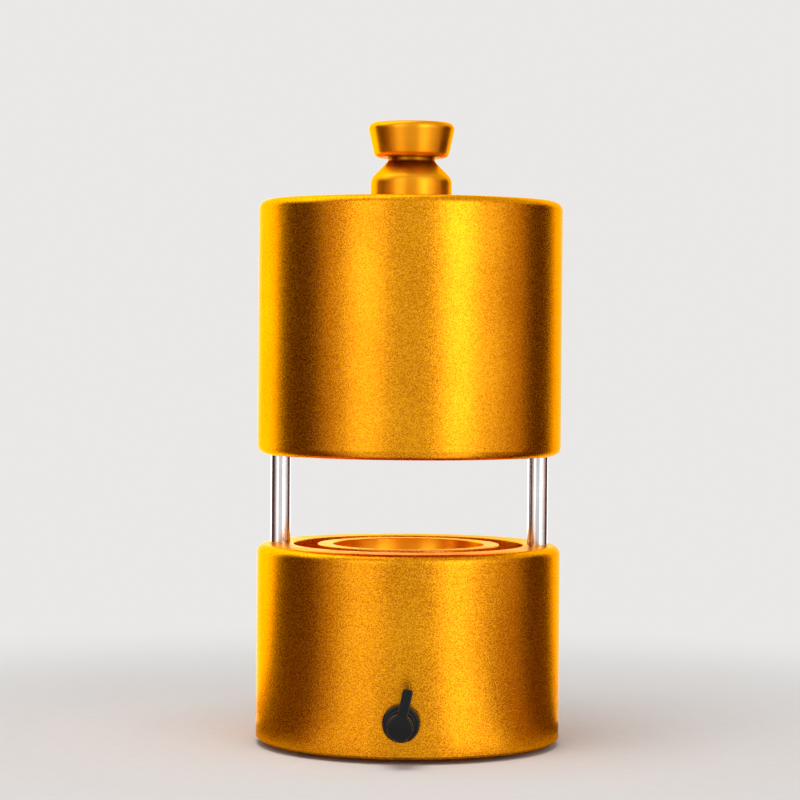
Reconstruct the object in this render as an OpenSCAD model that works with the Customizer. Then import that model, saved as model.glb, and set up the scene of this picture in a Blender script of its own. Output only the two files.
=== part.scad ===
// Ice ball mold: two heavy aluminium halves on guide rods melt a block of ice into a ball.
// The upper half slides on the rods. Melt water runs from a gutter through drain holes
// into a tank in the lower half, and a small tap on the front lets it out.
// Frame: millimetres, +Z up, origin on the standing surface under the mold's axis.
// The tap is on the -Y side, the guide rods are on the X axis, the upper half is raised.

/* [Mold halves] */
// Outer diameter of both halves
mold_d = 120; // [116:1:140]
// Height of the upper half
upper_h = 100; // [94:1:120]
// Height of the lower half
lower_h = 77; // [68:1:95]
// Opening between the two halves as drawn
rest_gap = 35.5; // [5:0.5:44]
// Rounding of the outer edges that face the opening and the knob
edge_r = 3.5; // [1:0.25:3.5]
// Chamfer round the bottom edge of the lower half
bottom_chamfer = 1; // [0.5:0.25:2]

/* [Ball cavity and gutter] */
// Diameter of the finished ice ball
ball_d = 60; // [50:1:64]
// Width of the flat land round the cavity
land_w = 6; // [4:0.5:8]
// Depth of the gutter round the land
gutter_depth = 7; // [4:0.5:12]
// Rounding of the gutter's lower corners
gutter_r = 2; // [0.5:0.25:3]
// Diameter of the drain holes in the gutter's floor
drain_d = 5; // [3:0.5:6]
// Number of drain holes
drain_count = 4; // [2:1:8]

/* [Guide rods] */
// Diameter of the guide rods
rod_d = 8; // [6:0.5:9]
// Metal left between a rod and the outside of the mold
rod_cover = 5; // [4.5:0.25:6]
// Metal left between a rod and the gutter
rod_wall = 1.5; // [1:0.25:3]
// Length of rod that stands above the lower half
rod_reach = 84; // [60:1:92]
// Chamfer on the rods' upper ends
rod_chamfer = 1; // [0.5:0.25:2]
// Metal that the rod screws clamp under each rod
rod_screw_grip = 7.5; // [4:0.5:20]

/* [Guide bushes] */
// Wall of the guide bushes
bush_wall = 1; // [0.75:0.05:1.2]
// Length of the guide bushes
bush_l = 30; // [15:1:50]
// Height of the rubber wiper rings below the bushes
wiper_h = 2.5; // [1.5:0.25:5]
// How far the wiper rings are set back in their bores
wiper_setback = 0.5; // [0.25:0.25:2]
// Spare depth of the guide bores above the closed rods
bore_spare = 4; // [2:0.5:6]
// Radial room round the rods above the bushes
bore_room = 0.5; // [0.3:0.1:0.7]

/* [Knob] */
// Height of the knob
knob_h = 31; // [27:0.5:40]
// Diameter of the knob's base
knob_base_d = 32; // [28:0.5:40]
// Height of the corner between the knob's base and its waist, before its rounding
knob_base_h = 9; // [7:0.25:10]
// Rounding of the base into the waist
knob_shoulder_r = 5; // [2:0.25:6]
// Diameter of the knob's neck
knob_neck_d = 18.5; // [16:0.5:22]
// Length of the neck from the waist's cone to the head
knob_neck_l = 1.5; // [1.25:0.25:3]
// Rounding of the waist into the neck
knob_hollow_r = 1.5; // [0.5:0.25:2]
// Height of the underside of the knob's head
knob_head_z = 17.25; // [16:0.25:20]
// Diameter of the head at its underside, before its rounding
knob_head_low_d = 29; // [27:0.5:32]
// Rounding of the head's lower edge
knob_lip_r = 2.4; // [0.6:0.2:2.6]
// Diameter of the head at its top, before its rounding
knob_head_top_d = 35; // [33:0.5:44]
// Rounding of the head's top edge
knob_edge_r = 2.4; // [0.6:0.2:3]
// Diameter of the stud that holds the knob
stud_d = 8; // [5:0.5:10]
// Length of stud in the knob and in the upper half
stud_reach = 14; // [8:0.5:20]
// Chamfer on the stud's ends
stud_chamfer = 0.8; // [0.4:0.1:1.2]

/* [Water tank and base] */
// Height of the water tank
tank_h = 13; // [11:0.5:17]
// Metal between the drain holes and the tank's wall
tank_margin = 0.25; // [0:0.05:0.5]
// Thickness of the base plate
plate_t = 8; // [6:0.25:12]
// Width of the lower half's rim round the base plate
plate_rim = 4.5; // [3:0.25:5]
// Metal between the tank and the seal's groove
seal_wall = 0.8; // [0.4:0.1:1]
// Thickness of the base seal's cord
seal_d = 2.2; // [1.6:0.1:2.4]
// Depth of the base seal's groove
seal_groove = 1.8; // [1.3:0.1:2]
// Metal between the foot ring's groove and the base screws' heads
foot_wall = 2.6; // [0.6:0.1:11.6]
// Width of the foot ring
foot_w = 8; // [5:0.5:14]
// Height of the foot ring below the lower half
foot_proud = 2; // [1:0.25:4]
// Depth of the foot ring's groove in the base plate
foot_groove = 2.5; // [1:0.25:3.5]
// Rounding of the foot ring's lower edges
foot_r = 0.6; // [0.2:0.1:0.9]

/* [Tap] */
// Height of the tap's axis above the tank's floor
tap_rise = 6; // [5.5:0.25:6.5]
// Depth of the flat that the tap seats on
tap_flat = 0.6; // [0.5:0.1:2]
// Width of the flat outside the tap's flange
tap_flat_margin = 0.5; // [0.25:0.05:1]
// Diameter of the tap's threaded shank
shank_d = 9.6; // [9:0.1:10.2]
// Length of the shank behind the flange
shank_l = 15; // [12:0.5:16]
// Thickness of the sealing washer
washer_t = 1; // [0.5:0.1:1.5]
// Diameter of the tap's flange
flange_d = 14.25; // [13:0.25:14.5]
// Thickness of the tap's flange
flange_t = 3; // [2:0.25:5]
// Rounding of the flange's front edge
flange_r = 1; // [0.4:0.1:1.5]
// Diameter of the tap's barrel
barrel_d = 9.6; // [9:0.1:11]
// Length of the barrel in front of the flange
barrel_l = 7; // [6.5:0.25:10]
// Diameter of the short spout under the barrel
spout_d = 5.4; // [5:0.1:6]
// Reach of the spout below the tap's axis
spout_reach = 5.9; // [5.5:0.1:8]
// Diameter of the water way through the tap
water_d = 3.2; // [2.4:0.1:3.4]
// Diameter of the turning plug
plug_d = 6.4; // [6.2:0.05:7]
// Diameter of the handle's hub
hub_d = 10; // [9:0.25:12]
// Thickness of the hub
hub_t = 3.6; // [3:0.1:5]
// Rounding of the hub's front edge
hub_r = 0.8; // [0.3:0.1:1.5]
// Width of the lever
lever_w = 3.9; // [2.5:0.1:5]
// Thickness of the lever
lever_t = 2.8; // [1.5:0.1:3.4]
// Length of the lever from the tap's axis
lever_l = 14.6; // [9:0.2:20]
// Corner cut at the lever's end
lever_corner = 0.5; // [0.2:0.1:1]
// Turn of the lever to the right of straight up, as drawn
lever_tilt = 12; // [0:1:80]
// Thickness of the cord of the plug's seals
plug_seal_d = 0.9; // [0.6:0.05:1]
// Width of plug between the water way and each seal's groove
plug_seal_land = 0.4; // [0.2:0.05:0.5]
// Thickness of the plug's clip
clip_t = 0.8; // [0.5:0.05:1]
// Outer diameter of the plug's clip
clip_d = 8.6; // [7.6:0.1:9]
// Depth of the clip's groove in the plug
clip_groove = 0.6; // [0.4:0.05:0.8]

/* [Screws] */
// Thread diameter of the base and rod screws
screw_d = 4; // [3:0.5:4]
// Number of base screws
base_screw_count = 4; // [4:4:8]
// Length of the base screws
base_screw_l = 16; // [12:0.5:19]
// Diameter of the base screws' countersunk heads
base_head_d = 8; // [7:0.25:8]
// Diameter of the rod screws' heads
rod_head_d = 7; // [6:0.25:7.2]
// Height of the rod screws' heads
rod_head_h = 4; // [3:0.25:5]
// Length of the rod screws below their heads
rod_screw_l = 18; // [14:0.5:40]
// Width across the hex sockets of the screws
socket_w = 2.5; // [1.5:0.25:2.75]
// Depth of the hex sockets
socket_depth = 1.6; // [1:0.1:1.8]

/* [Clearances] */
// Radial clearance of the rods in the bushes and of the plug in the tap
slide_gap = 0.05; // [0.02:0.01:0.09]
// Radial clearance of pieces that are pushed home and stay
push_gap = 0.02; // [0.01:0.005:0.05]
// Radial clearance of screw threads and of seals in their grooves
thread_gap = 0.1; // [0.05:0.05:0.2]
// Radial clearance of the base plate, screw heads and loose rings
seat_gap = 0.2; // [0.1:0.05:0.3]
// Gap between the turning hub and the end of the barrel
hub_gap = 0.2; // [0.1:0.05:0.4]

/* [Hidden] */
$fn = 96;

gold = "#d9960f";
steel = "#c4c6ca";
bronze = "#a97f3c";
black_plastic = "#1c1c1e";
rubber_black = "#262627";

// Overshoot of cuts past the faces that they leave through
over = 1;
// Depth by which a straight line runs into an arc, so that no sliver is left between them
hair = 0.001;

// Heights of the main faces
lower_z = foot_proud;
plate_top_z = lower_z + plate_t;
tank_top_z = plate_top_z + tank_h;
part_z = lower_z + lower_h;
upper_z = part_z + rest_gap;
upper_top_z = upper_z + upper_h;

// Radii from the outside of the mold inwards
mold_r = mold_d / 2;
rod_x = mold_r - rod_cover - rod_d / 2;
gutter_out_r = rod_x - rod_d / 2 - rod_wall;
gutter_in_r = ball_d / 2 + land_w;
drain_ring_r = (gutter_in_r + gutter_out_r) / 2;
tank_r = drain_ring_r + drain_d / 2 + tank_margin;
plate_r = mold_r - plate_rim;
seal_room = seal_d + 2 * thread_gap;
seal_r = tank_r + seal_wall + seal_room / 2;
foot_d = 2 * (rod_x - base_head_d / 2 - 2 * seat_gap - foot_wall);

// Guide bores and rods
bush_d = rod_d + 2 * slide_gap + 2 * bush_wall;
bore_depth = rod_reach + bore_spare;
rod_recess = rod_head_h + seat_gap;
rod_foot_z = plate_top_z + rod_recess + rod_screw_grip;
rod_thread_l = rod_screw_l - rod_screw_grip + over;

// Tap, measured outwards from its flat
tap_z = plate_top_z + tap_rise;
tap_flat_y = mold_r - tap_flat;
flange_w = washer_t;
barrel_w = flange_w + flange_t;
hub_w = barrel_w + barrel_l + hub_gap;
shank_end_w = flange_w - shank_l;
spout_w = barrel_w + barrel_l / 2;
plug_end_w = shank_end_w - hub_gap - 2 * clip_t;
plug_bore_r = plug_d / 2 + slide_gap;
plug_seal_room = plug_seal_d + 2 * thread_gap;
plug_seal_r = plug_bore_r - push_gap - plug_seal_d / 2;
plug_seal_step = water_d / 2 + plug_seal_land;
plug_seal_ws = [spout_w - plug_seal_step - plug_seal_room, spout_w + plug_seal_step];
clip_in_d = plug_d - 2 * clip_groove;

// Head of the knob: a cone between the centres of its rounded lower and upper edges
head_lean = atan2((knob_head_top_d - knob_head_low_d) / 2, knob_h - knob_head_z);
head_out = [cos(head_lean), -sin(head_lean)];
lip_round = [
  knob_head_low_d / 2 - knob_lip_r * (1 - sin(head_lean)) / cos(head_lean),
  knob_head_z + knob_lip_r
];
head_round = [
  knob_head_top_d / 2 - knob_edge_r * (1 + sin(head_lean)) / cos(head_lean),
  knob_h - knob_edge_r
];

// Waist of the knob: a cone between the centres of its rounded shoulder and its hollow
knob_neck_z = knob_head_z - knob_neck_l;
waist_lean = atan2((knob_base_d - knob_neck_d) / 2, knob_neck_z - knob_base_h);
waist_out = [cos(waist_lean), sin(waist_lean)];
shoulder_round = [
  knob_base_d / 2 - knob_shoulder_r,
  knob_base_h - knob_shoulder_r * tan(waist_lean / 2)
];
hollow_round = [
  knob_neck_d / 2 + knob_hollow_r,
  knob_neck_z + knob_hollow_r * tan(waist_lean / 2)
];

// Moves its children from the mold's axis to one rod's axis
module on_side(side) {
  translate([side * rod_x, 0, 0]) children();
}

// Repeats its children round the mold's axis, starting half a step from the rods' line
module around(count) {
  for (i = [0 : count - 1])
    rotate([0, 0, (i + 0.5) * 360 / count]) children();
}

// Turns +Z to the tap's outward direction, with the tap's flat at zero and +Y upwards
module at_tap() {
  translate([0, -tap_flat_y, tap_z]) rotate([90, 0, 0]) children();
}

// Half section of a turned piece whose upper outer edge is rounded
module turned_section(radius, height, round_r) {
  square([radius, height - round_r]);
  square([radius - round_r, height]);
  translate([radius - round_r, height - round_r]) circle(round_r);
}

// Half section of a turned piece whose outer edges are both rounded
module drum_section(radius, height, round_r) {
  translate([0, round_r]) turned_section(radius, height - round_r, round_r);
  square([radius - round_r, height]);
  translate([radius - round_r, round_r]) circle(round_r);
}

// Section of a strip or channel whose lower corners are rounded
module round_foot_section(width, height, round_r) {
  translate([0, round_r]) square([width, height - round_r]);
  translate([round_r, 0]) square([width - 2 * round_r, height]);
  for (x = [round_r, width - round_r])
    translate([x, round_r]) circle(round_r);
}

// Round ring between two diameters
module ring(outer_d, inner_d, height) {
  difference() {
    cylinder(d = outer_d, h = height);
    translate([0, 0, -over]) cylinder(d = inner_d, h = height + 2 * over);
  }
}

// Straight pin with a chamfer at its upper end
module chamfered_pin(pin_d, length, chamfer) {
  cylinder(d = pin_d, h = length - chamfer);
  translate([0, 0, length - chamfer])
    cylinder(d1 = pin_d, d2 = pin_d - 2 * chamfer, h = chamfer);
}

// Cut for a hex socket, from z = 0 upwards
module hex_socket() {
  translate([0, 0, -over])
    cylinder(d = socket_w / cos(30), h = socket_depth + over, $fn = 6);
}

// Cone of a countersunk head, from z = 0 upwards, grown by a radial gap
module countersink(gap) {
  cone_h = (base_head_d - screw_d) / 2;
  cylinder(d1 = base_head_d + 2 * gap, d2 = screw_d + 2 * gap, h = cone_h);
}

// Half section of the lower half's blank
module lower_section() {
  difference() {
    turned_section(mold_r, lower_h, edge_r);
    polygon([
      [mold_r - bottom_chamfer, 0],
      [mold_r + over, bottom_chamfer + over],
      [mold_r + over, -over],
      [mold_r - bottom_chamfer - over, -over]
    ]);
  }
}

// Holes in the lower half for one rod and its screw
module rod_socket() {
  translate([0, 0, rod_foot_z])
    cylinder(d = rod_d + 2 * push_gap, h = part_z - rod_foot_z + over);
  translate([0, 0, plate_top_z - over])
    cylinder(d = screw_d + 2 * seat_gap, h = rod_foot_z - plate_top_z + 2 * over);
  translate([0, 0, plate_top_z - over])
    cylinder(d = rod_head_d + 2 * seat_gap, h = rod_recess + over);
}

// Hole and flat in the lower half for the tap
module tap_port() {
  at_tap() {
    translate([0, 0, tank_r - tap_flat_y - over])
      cylinder(d = shank_d + 2 * thread_gap, h = tap_flat_y - tank_r + 2 * over);
    cylinder(d = flange_d + 2 * tap_flat_margin, h = tap_flat + over);
  }
}

module lower_mold() {
  color(gold) difference() {
    translate([0, 0, lower_z]) rotate_extrude() lower_section();
    translate([0, 0, part_z]) sphere(d = ball_d);
    rotate_extrude() translate([gutter_in_r, part_z - gutter_depth])
      round_foot_section(gutter_out_r - gutter_in_r, gutter_depth + over, gutter_r);
    around(drain_count) translate([drain_ring_r, 0, tank_top_z - over])
      cylinder(d = drain_d, h = part_z - gutter_depth / 2 - tank_top_z + over);
    translate([0, 0, plate_top_z - over]) cylinder(r = tank_r, h = tank_h + over);
    translate([0, 0, lower_z - over]) cylinder(r = plate_r, h = plate_t + over);
    for (side = [-1, 1])
      on_side(side) rod_socket();
    around(base_screw_count) translate([rod_x, 0, plate_top_z - over])
      cylinder(d = screw_d + 2 * thread_gap, h = base_screw_l - plate_t + 2 * over);
    tap_port();
  }
}

module guide_rod(side) {
  color(steel) difference() {
    on_side(side) translate([0, 0, rod_foot_z])
      chamfered_pin(rod_d, part_z - rod_foot_z + rod_reach, rod_chamfer);
    on_side(side) translate([0, 0, rod_foot_z - over])
      cylinder(d = screw_d + 2 * thread_gap, h = rod_thread_l + over);
  }
}

module rod_screws() {
  head_z = plate_top_z + rod_recess - rod_head_h;
  color(steel) for (side = [-1, 1])
    on_side(side) difference() {
      translate([0, 0, head_z]) {
        cylinder(d = rod_head_d, h = rod_head_h);
        cylinder(d = screw_d, h = rod_head_h + rod_screw_l);
      }
      translate([0, 0, head_z]) hex_socket();
    }
}

module base_plate() {
  foot_in_r = foot_d / 2 - foot_w;
  color(gold) difference() {
    translate([0, 0, lower_z]) cylinder(r = plate_r - seat_gap, h = plate_t);
    rotate_extrude() translate([seal_r - seal_room / 2, plate_top_z - seal_groove])
      square([seal_room, seal_groove + over]);
    rotate_extrude() translate([foot_in_r - seat_gap, lower_z - over])
      square([foot_w + 2 * seat_gap, foot_groove + over]);
    around(base_screw_count) translate([rod_x, 0, lower_z]) {
      translate([0, 0, -over]) cylinder(d = screw_d + 2 * seat_gap, h = plate_t + 2 * over);
      countersink(seat_gap);
    }
  }
}

module base_seal() {
  color(rubber_black) rotate_extrude()
    translate([seal_r, plate_top_z - seal_groove / 2])
      intersection() {
        circle(d = seal_d);
        square([seal_d, seal_groove], center = true);
      }
}

module base_screws() {
  color(steel) around(base_screw_count) translate([rod_x, 0, lower_z])
    difference() {
      union() {
        countersink(0);
        cylinder(d = screw_d, h = base_screw_l);
      }
      hex_socket();
    }
}

module foot_ring() {
  color(rubber_black) rotate_extrude() translate([foot_d / 2 - foot_w, 0])
    round_foot_section(foot_w, foot_proud + foot_groove, foot_r);
}

module tap_body() {
  color(black_plastic) at_tap() difference() {
    union() {
      translate([0, 0, shank_end_w]) cylinder(d = shank_d, h = shank_l + flange_t);
      translate([0, 0, flange_w]) rotate_extrude() turned_section(flange_d / 2, flange_t, flange_r);
      translate([0, 0, barrel_w - flange_t / 2]) cylinder(d = barrel_d, h = barrel_l + flange_t / 2);
      translate([0, 0, spout_w]) rotate([90, 0, 0]) cylinder(d = spout_d, h = spout_reach);
    }
    translate([0, 0, shank_end_w - over])
      cylinder(r = plug_bore_r, h = hub_w - shank_end_w + 2 * over);
    translate([0, 0, spout_w]) rotate([90, 0, 0]) cylinder(d = water_d, h = spout_reach + over);
  }
}

module tap_washer() {
  color(rubber_black) at_tap() ring(flange_d - 2 * seat_gap, shank_d + 2 * seat_gap, washer_t);
}

// Outline of the lever, from the tap's axis upwards
module lever_outline() {
  half = lever_w / 2;
  polygon([
    [-half, 0],
    [half, 0],
    [half, lever_l - lever_corner],
    [half - lever_corner, lever_l],
    [lever_corner - half, lever_l],
    [-half, lever_l - lever_corner]
  ]);
}

module tap_handle() {
  color(black_plastic) at_tap() rotate([0, 0, -lever_tilt]) difference() {
    union() {
      translate([0, 0, plug_end_w]) cylinder(d = plug_d, h = hub_w - plug_end_w + hub_t / 2);
      translate([0, 0, hub_w]) rotate_extrude() turned_section(hub_d / 2, hub_t, hub_r);
      translate([0, 0, hub_w + hub_t - lever_t]) linear_extrude(lever_t) lever_outline();
    }
    translate([0, 0, plug_end_w - over])
      cylinder(d = water_d, h = spout_w + water_d / 2 - plug_end_w + over);
    translate([0, 0, spout_w]) rotate([90, 0, 0]) cylinder(d = water_d, h = plug_d);
    for (w = plug_seal_ws)
      translate([0, 0, w])
        ring(plug_d + 2 * over, 2 * plug_seal_r - plug_seal_d - 2 * push_gap, plug_seal_room);
    translate([0, 0, plug_end_w + clip_t - push_gap])
      ring(plug_d + 2 * over, clip_in_d, clip_t + 2 * push_gap);
  }
}

module tap_seals() {
  color(rubber_black) at_tap() for (w = plug_seal_ws)
    translate([0, 0, w + plug_seal_room / 2])
      rotate_extrude() translate([plug_seal_r, 0]) circle(d = plug_seal_d);
}

module tap_clip() {
  mouth = clip_in_d - clip_groove;
  color(steel) at_tap() translate([0, 0, plug_end_w + clip_t]) difference() {
    ring(clip_d, clip_in_d + 2 * push_gap, clip_t);
    translate([-mouth / 2, 0, -over]) cube([mouth, clip_d, clip_t + 2 * over]);
  }
}

module upper_mold() {
  color(gold) difference() {
    translate([0, 0, upper_z]) rotate_extrude() drum_section(mold_r, upper_h, edge_r);
    translate([0, 0, upper_z]) sphere(d = ball_d);
    for (side = [-1, 1])
      on_side(side) translate([0, 0, upper_z - over]) {
        cylinder(d = rod_d + 2 * bore_room, h = bore_depth + over);
        cylinder(d = bush_d + 2 * push_gap, h = wiper_setback + wiper_h + bush_l + over);
      }
    translate([0, 0, upper_top_z - stud_reach - over])
      cylinder(d = stud_d + 2 * thread_gap, h = stud_reach + 2 * over);
  }
}

module guide_bush(side) {
  color(bronze) on_side(side) translate([0, 0, upper_z + wiper_setback + wiper_h])
    ring(bush_d, rod_d + 2 * slide_gap, bush_l);
}

module rod_wiper(side) {
  color(rubber_black) on_side(side) translate([0, 0, upper_z + wiper_setback])
    ring(bush_d, rod_d + 2 * slide_gap, wiper_h);
}

// Half section of the knob
module knob_section() {
  difference() {
    polygon([
      [0, 0],
      [knob_base_d / 2, 0],
      [knob_base_d / 2, shoulder_round[1]],
      shoulder_round + (knob_shoulder_r - hair) * waist_out,
      hollow_round - (knob_hollow_r - hair) * waist_out,
      [knob_neck_d / 2, hollow_round[1]],
      [knob_neck_d / 2, knob_head_z],
      [0, knob_head_z]
    ]);
    translate(hollow_round) circle(knob_hollow_r);
  }
  translate(shoulder_round) circle(knob_shoulder_r);
  polygon([
    [0, knob_head_z - over],
    [knob_neck_d / 2 - over, knob_head_z - over],
    [knob_neck_d / 2 - over, knob_head_z],
    [lip_round[0], knob_head_z],
    lip_round,
    lip_round + (knob_lip_r - hair) * head_out,
    head_round + (knob_edge_r - hair) * head_out,
    head_round,
    [head_round[0], knob_h],
    [0, knob_h]
  ]);
  translate(lip_round) circle(knob_lip_r);
  translate(head_round) circle(knob_edge_r);
}

module knob() {
  color(gold) translate([0, 0, upper_top_z]) difference() {
    rotate_extrude() knob_section();
    translate([0, 0, -over]) cylinder(d = stud_d + 2 * thread_gap, h = stud_reach + 2 * over);
  }
}

module knob_stud() {
  color(steel) translate([0, 0, upper_top_z]) {
    chamfered_pin(stud_d, stud_reach, stud_chamfer);
    mirror([0, 0, 1]) chamfered_pin(stud_d, stud_reach, stud_chamfer);
  }
}

lower_mold();
guide_rod(-1);  // guide_rod_left
guide_rod(1);  // guide_rod_right
rod_screws();
base_plate();
base_seal();
base_screws();
foot_ring();
tap_body();
tap_washer();
tap_handle();
tap_seals();
tap_clip();
upper_mold();
guide_bush(-1);  // guide_bush_left
guide_bush(1);  // guide_bush_right
rod_wiper(-1);  // rod_wiper_left
rod_wiper(1);  // rod_wiper_right
knob();
knob_stud();
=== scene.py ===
"""Looks of an ice ball mold: modelled pieces, finishes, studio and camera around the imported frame."""

import logging
import math
from contextlib import contextmanager
from dataclasses import dataclass, field
from enum import Enum
from typing import Any, Callable, Iterator, Sequence, Union

import bmesh
import bpy
from bmesh.types import BMEdge, BMFace
from bpy.types import Material, Node, NodeSocket, NodeTree, Object
from mathutils import Matrix, Vector


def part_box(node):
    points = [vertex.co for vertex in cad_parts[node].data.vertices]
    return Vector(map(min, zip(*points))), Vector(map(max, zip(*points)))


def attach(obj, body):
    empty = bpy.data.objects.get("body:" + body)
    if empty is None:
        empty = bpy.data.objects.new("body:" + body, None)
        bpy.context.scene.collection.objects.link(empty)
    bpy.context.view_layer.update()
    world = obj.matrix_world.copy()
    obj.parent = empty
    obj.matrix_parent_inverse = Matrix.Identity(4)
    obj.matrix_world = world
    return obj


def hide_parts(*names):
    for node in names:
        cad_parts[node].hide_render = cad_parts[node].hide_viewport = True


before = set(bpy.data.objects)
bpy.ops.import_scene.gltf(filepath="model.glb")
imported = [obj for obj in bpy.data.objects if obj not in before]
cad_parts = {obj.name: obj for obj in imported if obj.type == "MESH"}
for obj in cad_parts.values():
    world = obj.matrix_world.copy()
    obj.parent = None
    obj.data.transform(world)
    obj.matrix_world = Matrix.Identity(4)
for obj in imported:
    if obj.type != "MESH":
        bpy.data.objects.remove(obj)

LOG = logging.getLogger("ice_ball_mold")

MM = 0.001
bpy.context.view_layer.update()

# Where the tap's axis meets its seat on the lower half
TAP_SEAT = Vector((0, -59.4 * MM, 16 * MM))

# Corners this close are merged, ends this near count as at a place, and cutters pass a face by this much
WELD = 0.001 * MM
NEAR = 1 * MM
OVERCUT = 1 * MM

# Straight steps of a round, from the ball down to a bevel, and steps round a hole's cutter
BALL_STEPS = 40
EDGE_STEPS = 10
ROUND_STEPS = 8
CORNER_STEPS = 6
LIP_STEPS = 4
BEVEL_STEPS = 3
HOLE_STEPS = 64
SMALL_HOLE_STEPS = 48

# The upright part of a flat face's normal, and the angles in radians at an outer and at an inner corner
FLAT = 0.99
SHARP = 1.2
HOLLOW = -0.5

# The angle in degrees up to which an edge is shaded smooth, and how much large faces keep their normals
SMOOTH_ANGLE = 32.0
FACE_WEIGHT = 80

# The span that a noise usually fills, the whole span of a pattern, settings of the pattern nodes, and samples
# of the painted shade's occlusion node
USUAL_SPAN = (0.3, 0.7)
WHOLE_SPAN = (0.0, 1.0)
NOISE_ROUGHNESS = 0.55
PAINTED_SHADE_SAMPLES = 8

# The phase in radians that a Wave node counts per metre at a scale of 1
WAVE_PHASE = 20

# Numbers of a colour Mix node's sockets, whose names repeat
MIX_FACTOR, MIX_DARK, MIX_LIGHT = 0, 6, 7
MIX_RESULT = 2

WHITE = (1, 1, 1)

Point = tuple[float, float]
Colour = tuple[float, float, float]
Value = Union[float, tuple, NodeSocket]


class Body(Enum):
    """The bodies that move against each other."""

    LOWER = "lower_half"
    UPPER = "upper_half"
    TAP = "tap_key"


class Slot(Enum):
    """The record's material slots, named for the modelled pieces."""

    GOLD_BLASTED = "gold_blasted"
    GOLD_SATIN = "gold_satin"
    BLACK_PLASTIC = "black_plastic"
    BLACK_RUBBER = "black_rubber"


class Side(Enum):
    """The two sides of the mold, along X."""

    LEFT = -1
    RIGHT = 1


class Facing(Enum):
    """Which way a parting face looks, along Z."""

    UP = 1
    DOWN = -1


class Element(Enum):
    """What is selected in edit mode."""

    FACE = "faces"
    EDGE = "edges"


class Operation(Enum):
    """How tools change a piece."""

    CUT = "DIFFERENCE"
    JOIN = "UNION"


# Modelling helpers


def deselect_all() -> None:
    """Leaves edit mode and deselects every object."""
    if bpy.context.object and bpy.context.object.mode != "OBJECT":
        bpy.ops.object.mode_set(mode="OBJECT")
    bpy.ops.object.select_all(action="DESELECT")


def activate(obj: Object) -> None:
    """Makes one object the only selected and active one.

    Args:
        obj: The object.
    """
    deselect_all()
    obj.select_set(True)
    bpy.context.view_layer.objects.active = obj


@contextmanager
def editing(obj: Object) -> Iterator[None]:
    """Holds an object in edit mode for the length of a with block.

    Args:
        obj: The object.

    Returns:
        The context of the with block.
    """
    activate(obj)
    bpy.ops.object.mode_set(mode="EDIT")
    yield
    bpy.ops.object.mode_set(mode="OBJECT")


def select(obj: Object, element: Element, test: Callable[[Any], bool]) -> None:
    """Selects the faces or edges of the object in edit mode that pass a test.

    Args:
        obj: The object in edit mode.
        element: Whether faces or edges are selected.
        test: Says of each of them whether it is selected.
    """
    bpy.ops.mesh.select_mode(type=element.name)
    bpy.ops.mesh.select_all(action="DESELECT")
    mesh = bmesh.from_edit_mesh(obj.data)
    for chosen in [item for item in getattr(mesh, element.value) if test(item)]:
        chosen.select_set(True)
    bmesh.update_edit_mesh(obj.data)


def edge_span(edge: BMEdge) -> Point:
    """Gives the lowest and highest Y of an edge's ends."""
    low, high = sorted(end.co.y for end in edge.verts)
    return low, high


def apply_place(obj: Object) -> None:
    """Moves an object's place, turn and scale into its mesh."""
    activate(obj)
    bpy.ops.object.transform_apply(location=True, rotation=True, scale=True)


def apply_modifier(obj: Object, kind: str, **settings: object) -> None:
    """Adds a modifier, sets it and applies it.

    Args:
        obj: The object that gets the modifier.
        kind: Blender's name of the modifier's type.
        settings: Values of the modifier's properties.
    """
    activate(obj)
    bpy.ops.object.modifier_add(type=kind)
    modifier = obj.modifiers[-1]
    for name, value in settings.items():
        setattr(modifier, name, value)
    bpy.ops.object.modifier_apply(modifier=modifier.name)


def rotation(degrees: float, axis: str) -> Matrix:
    """Gives the turn by an angle about an axis."""
    return Matrix.Rotation(math.radians(degrees), 4, axis)


def arc(centre: Point, radius: float, start: float, end: float, steps: int) -> list[Point]:
    """Gives the points of an arc in a half section.

    Args:
        centre: Radius and height of the arc's centre.
        radius: Radius of the arc.
        start: First angle in degrees, from outwards towards upwards.
        end: Last angle in degrees.
        steps: Number of straight steps.

    Returns:
        The points from start to end, both included.
    """
    turns = [math.radians(start + (end - start) * step / steps) for step in range(steps + 1)]
    return [(centre[0] + radius * math.cos(turn), centre[1] + radius * math.sin(turn)) for turn in turns]


def turned(name: str, outline: Sequence[Point], steps: int) -> Object:
    """Models a turned piece: a half section drawn by extrusion and spun round the Z axis.

    Args:
        name: Name of the new object.
        outline: Radius and height of each corner of the half section, in metres.
        steps: Number of steps round the axis.

    Returns:
        The closed piece, with its normals outwards.
    """
    deselect_all()
    first = outline[0]
    bpy.ops.mesh.primitive_plane_add(size=MM, location=(first[0], 0, first[1]))
    obj = bpy.context.object
    obj.name = name
    apply_place(obj)
    with editing(obj):
        bpy.ops.mesh.select_mode(type="VERT")
        bpy.ops.mesh.select_all(action="SELECT")
        bpy.ops.mesh.merge(type="CENTER")
        for here, there in zip(outline, outline[1:]):
            step = (there[0] - here[0], 0, there[1] - here[1])
            bpy.ops.mesh.extrude_vertices_move(TRANSFORM_OT_translate={"value": step})
        bpy.ops.mesh.select_all(action="SELECT")
        bpy.ops.mesh.spin(steps=steps, angle=math.tau, center=(0, 0, 0), axis=(0, 0, 1))
        bpy.ops.mesh.select_all(action="SELECT")
        bpy.ops.mesh.remove_doubles(threshold=WELD)
        bpy.ops.mesh.normals_make_consistent(inside=False)
    return obj


def sheet(name: str, width: float, depth: float) -> Object:
    """Adds a flat sheet at the origin.

    Args:
        name: Name of the new object.
        width: Its size along X.
        depth: Its size along Y.

    Returns:
        The sheet, with its size still to be applied.
    """
    deselect_all()
    bpy.ops.mesh.primitive_plane_add(size=1)
    obj = bpy.context.object
    obj.name = name
    obj.scale = (width, depth, 1)
    return obj


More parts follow.
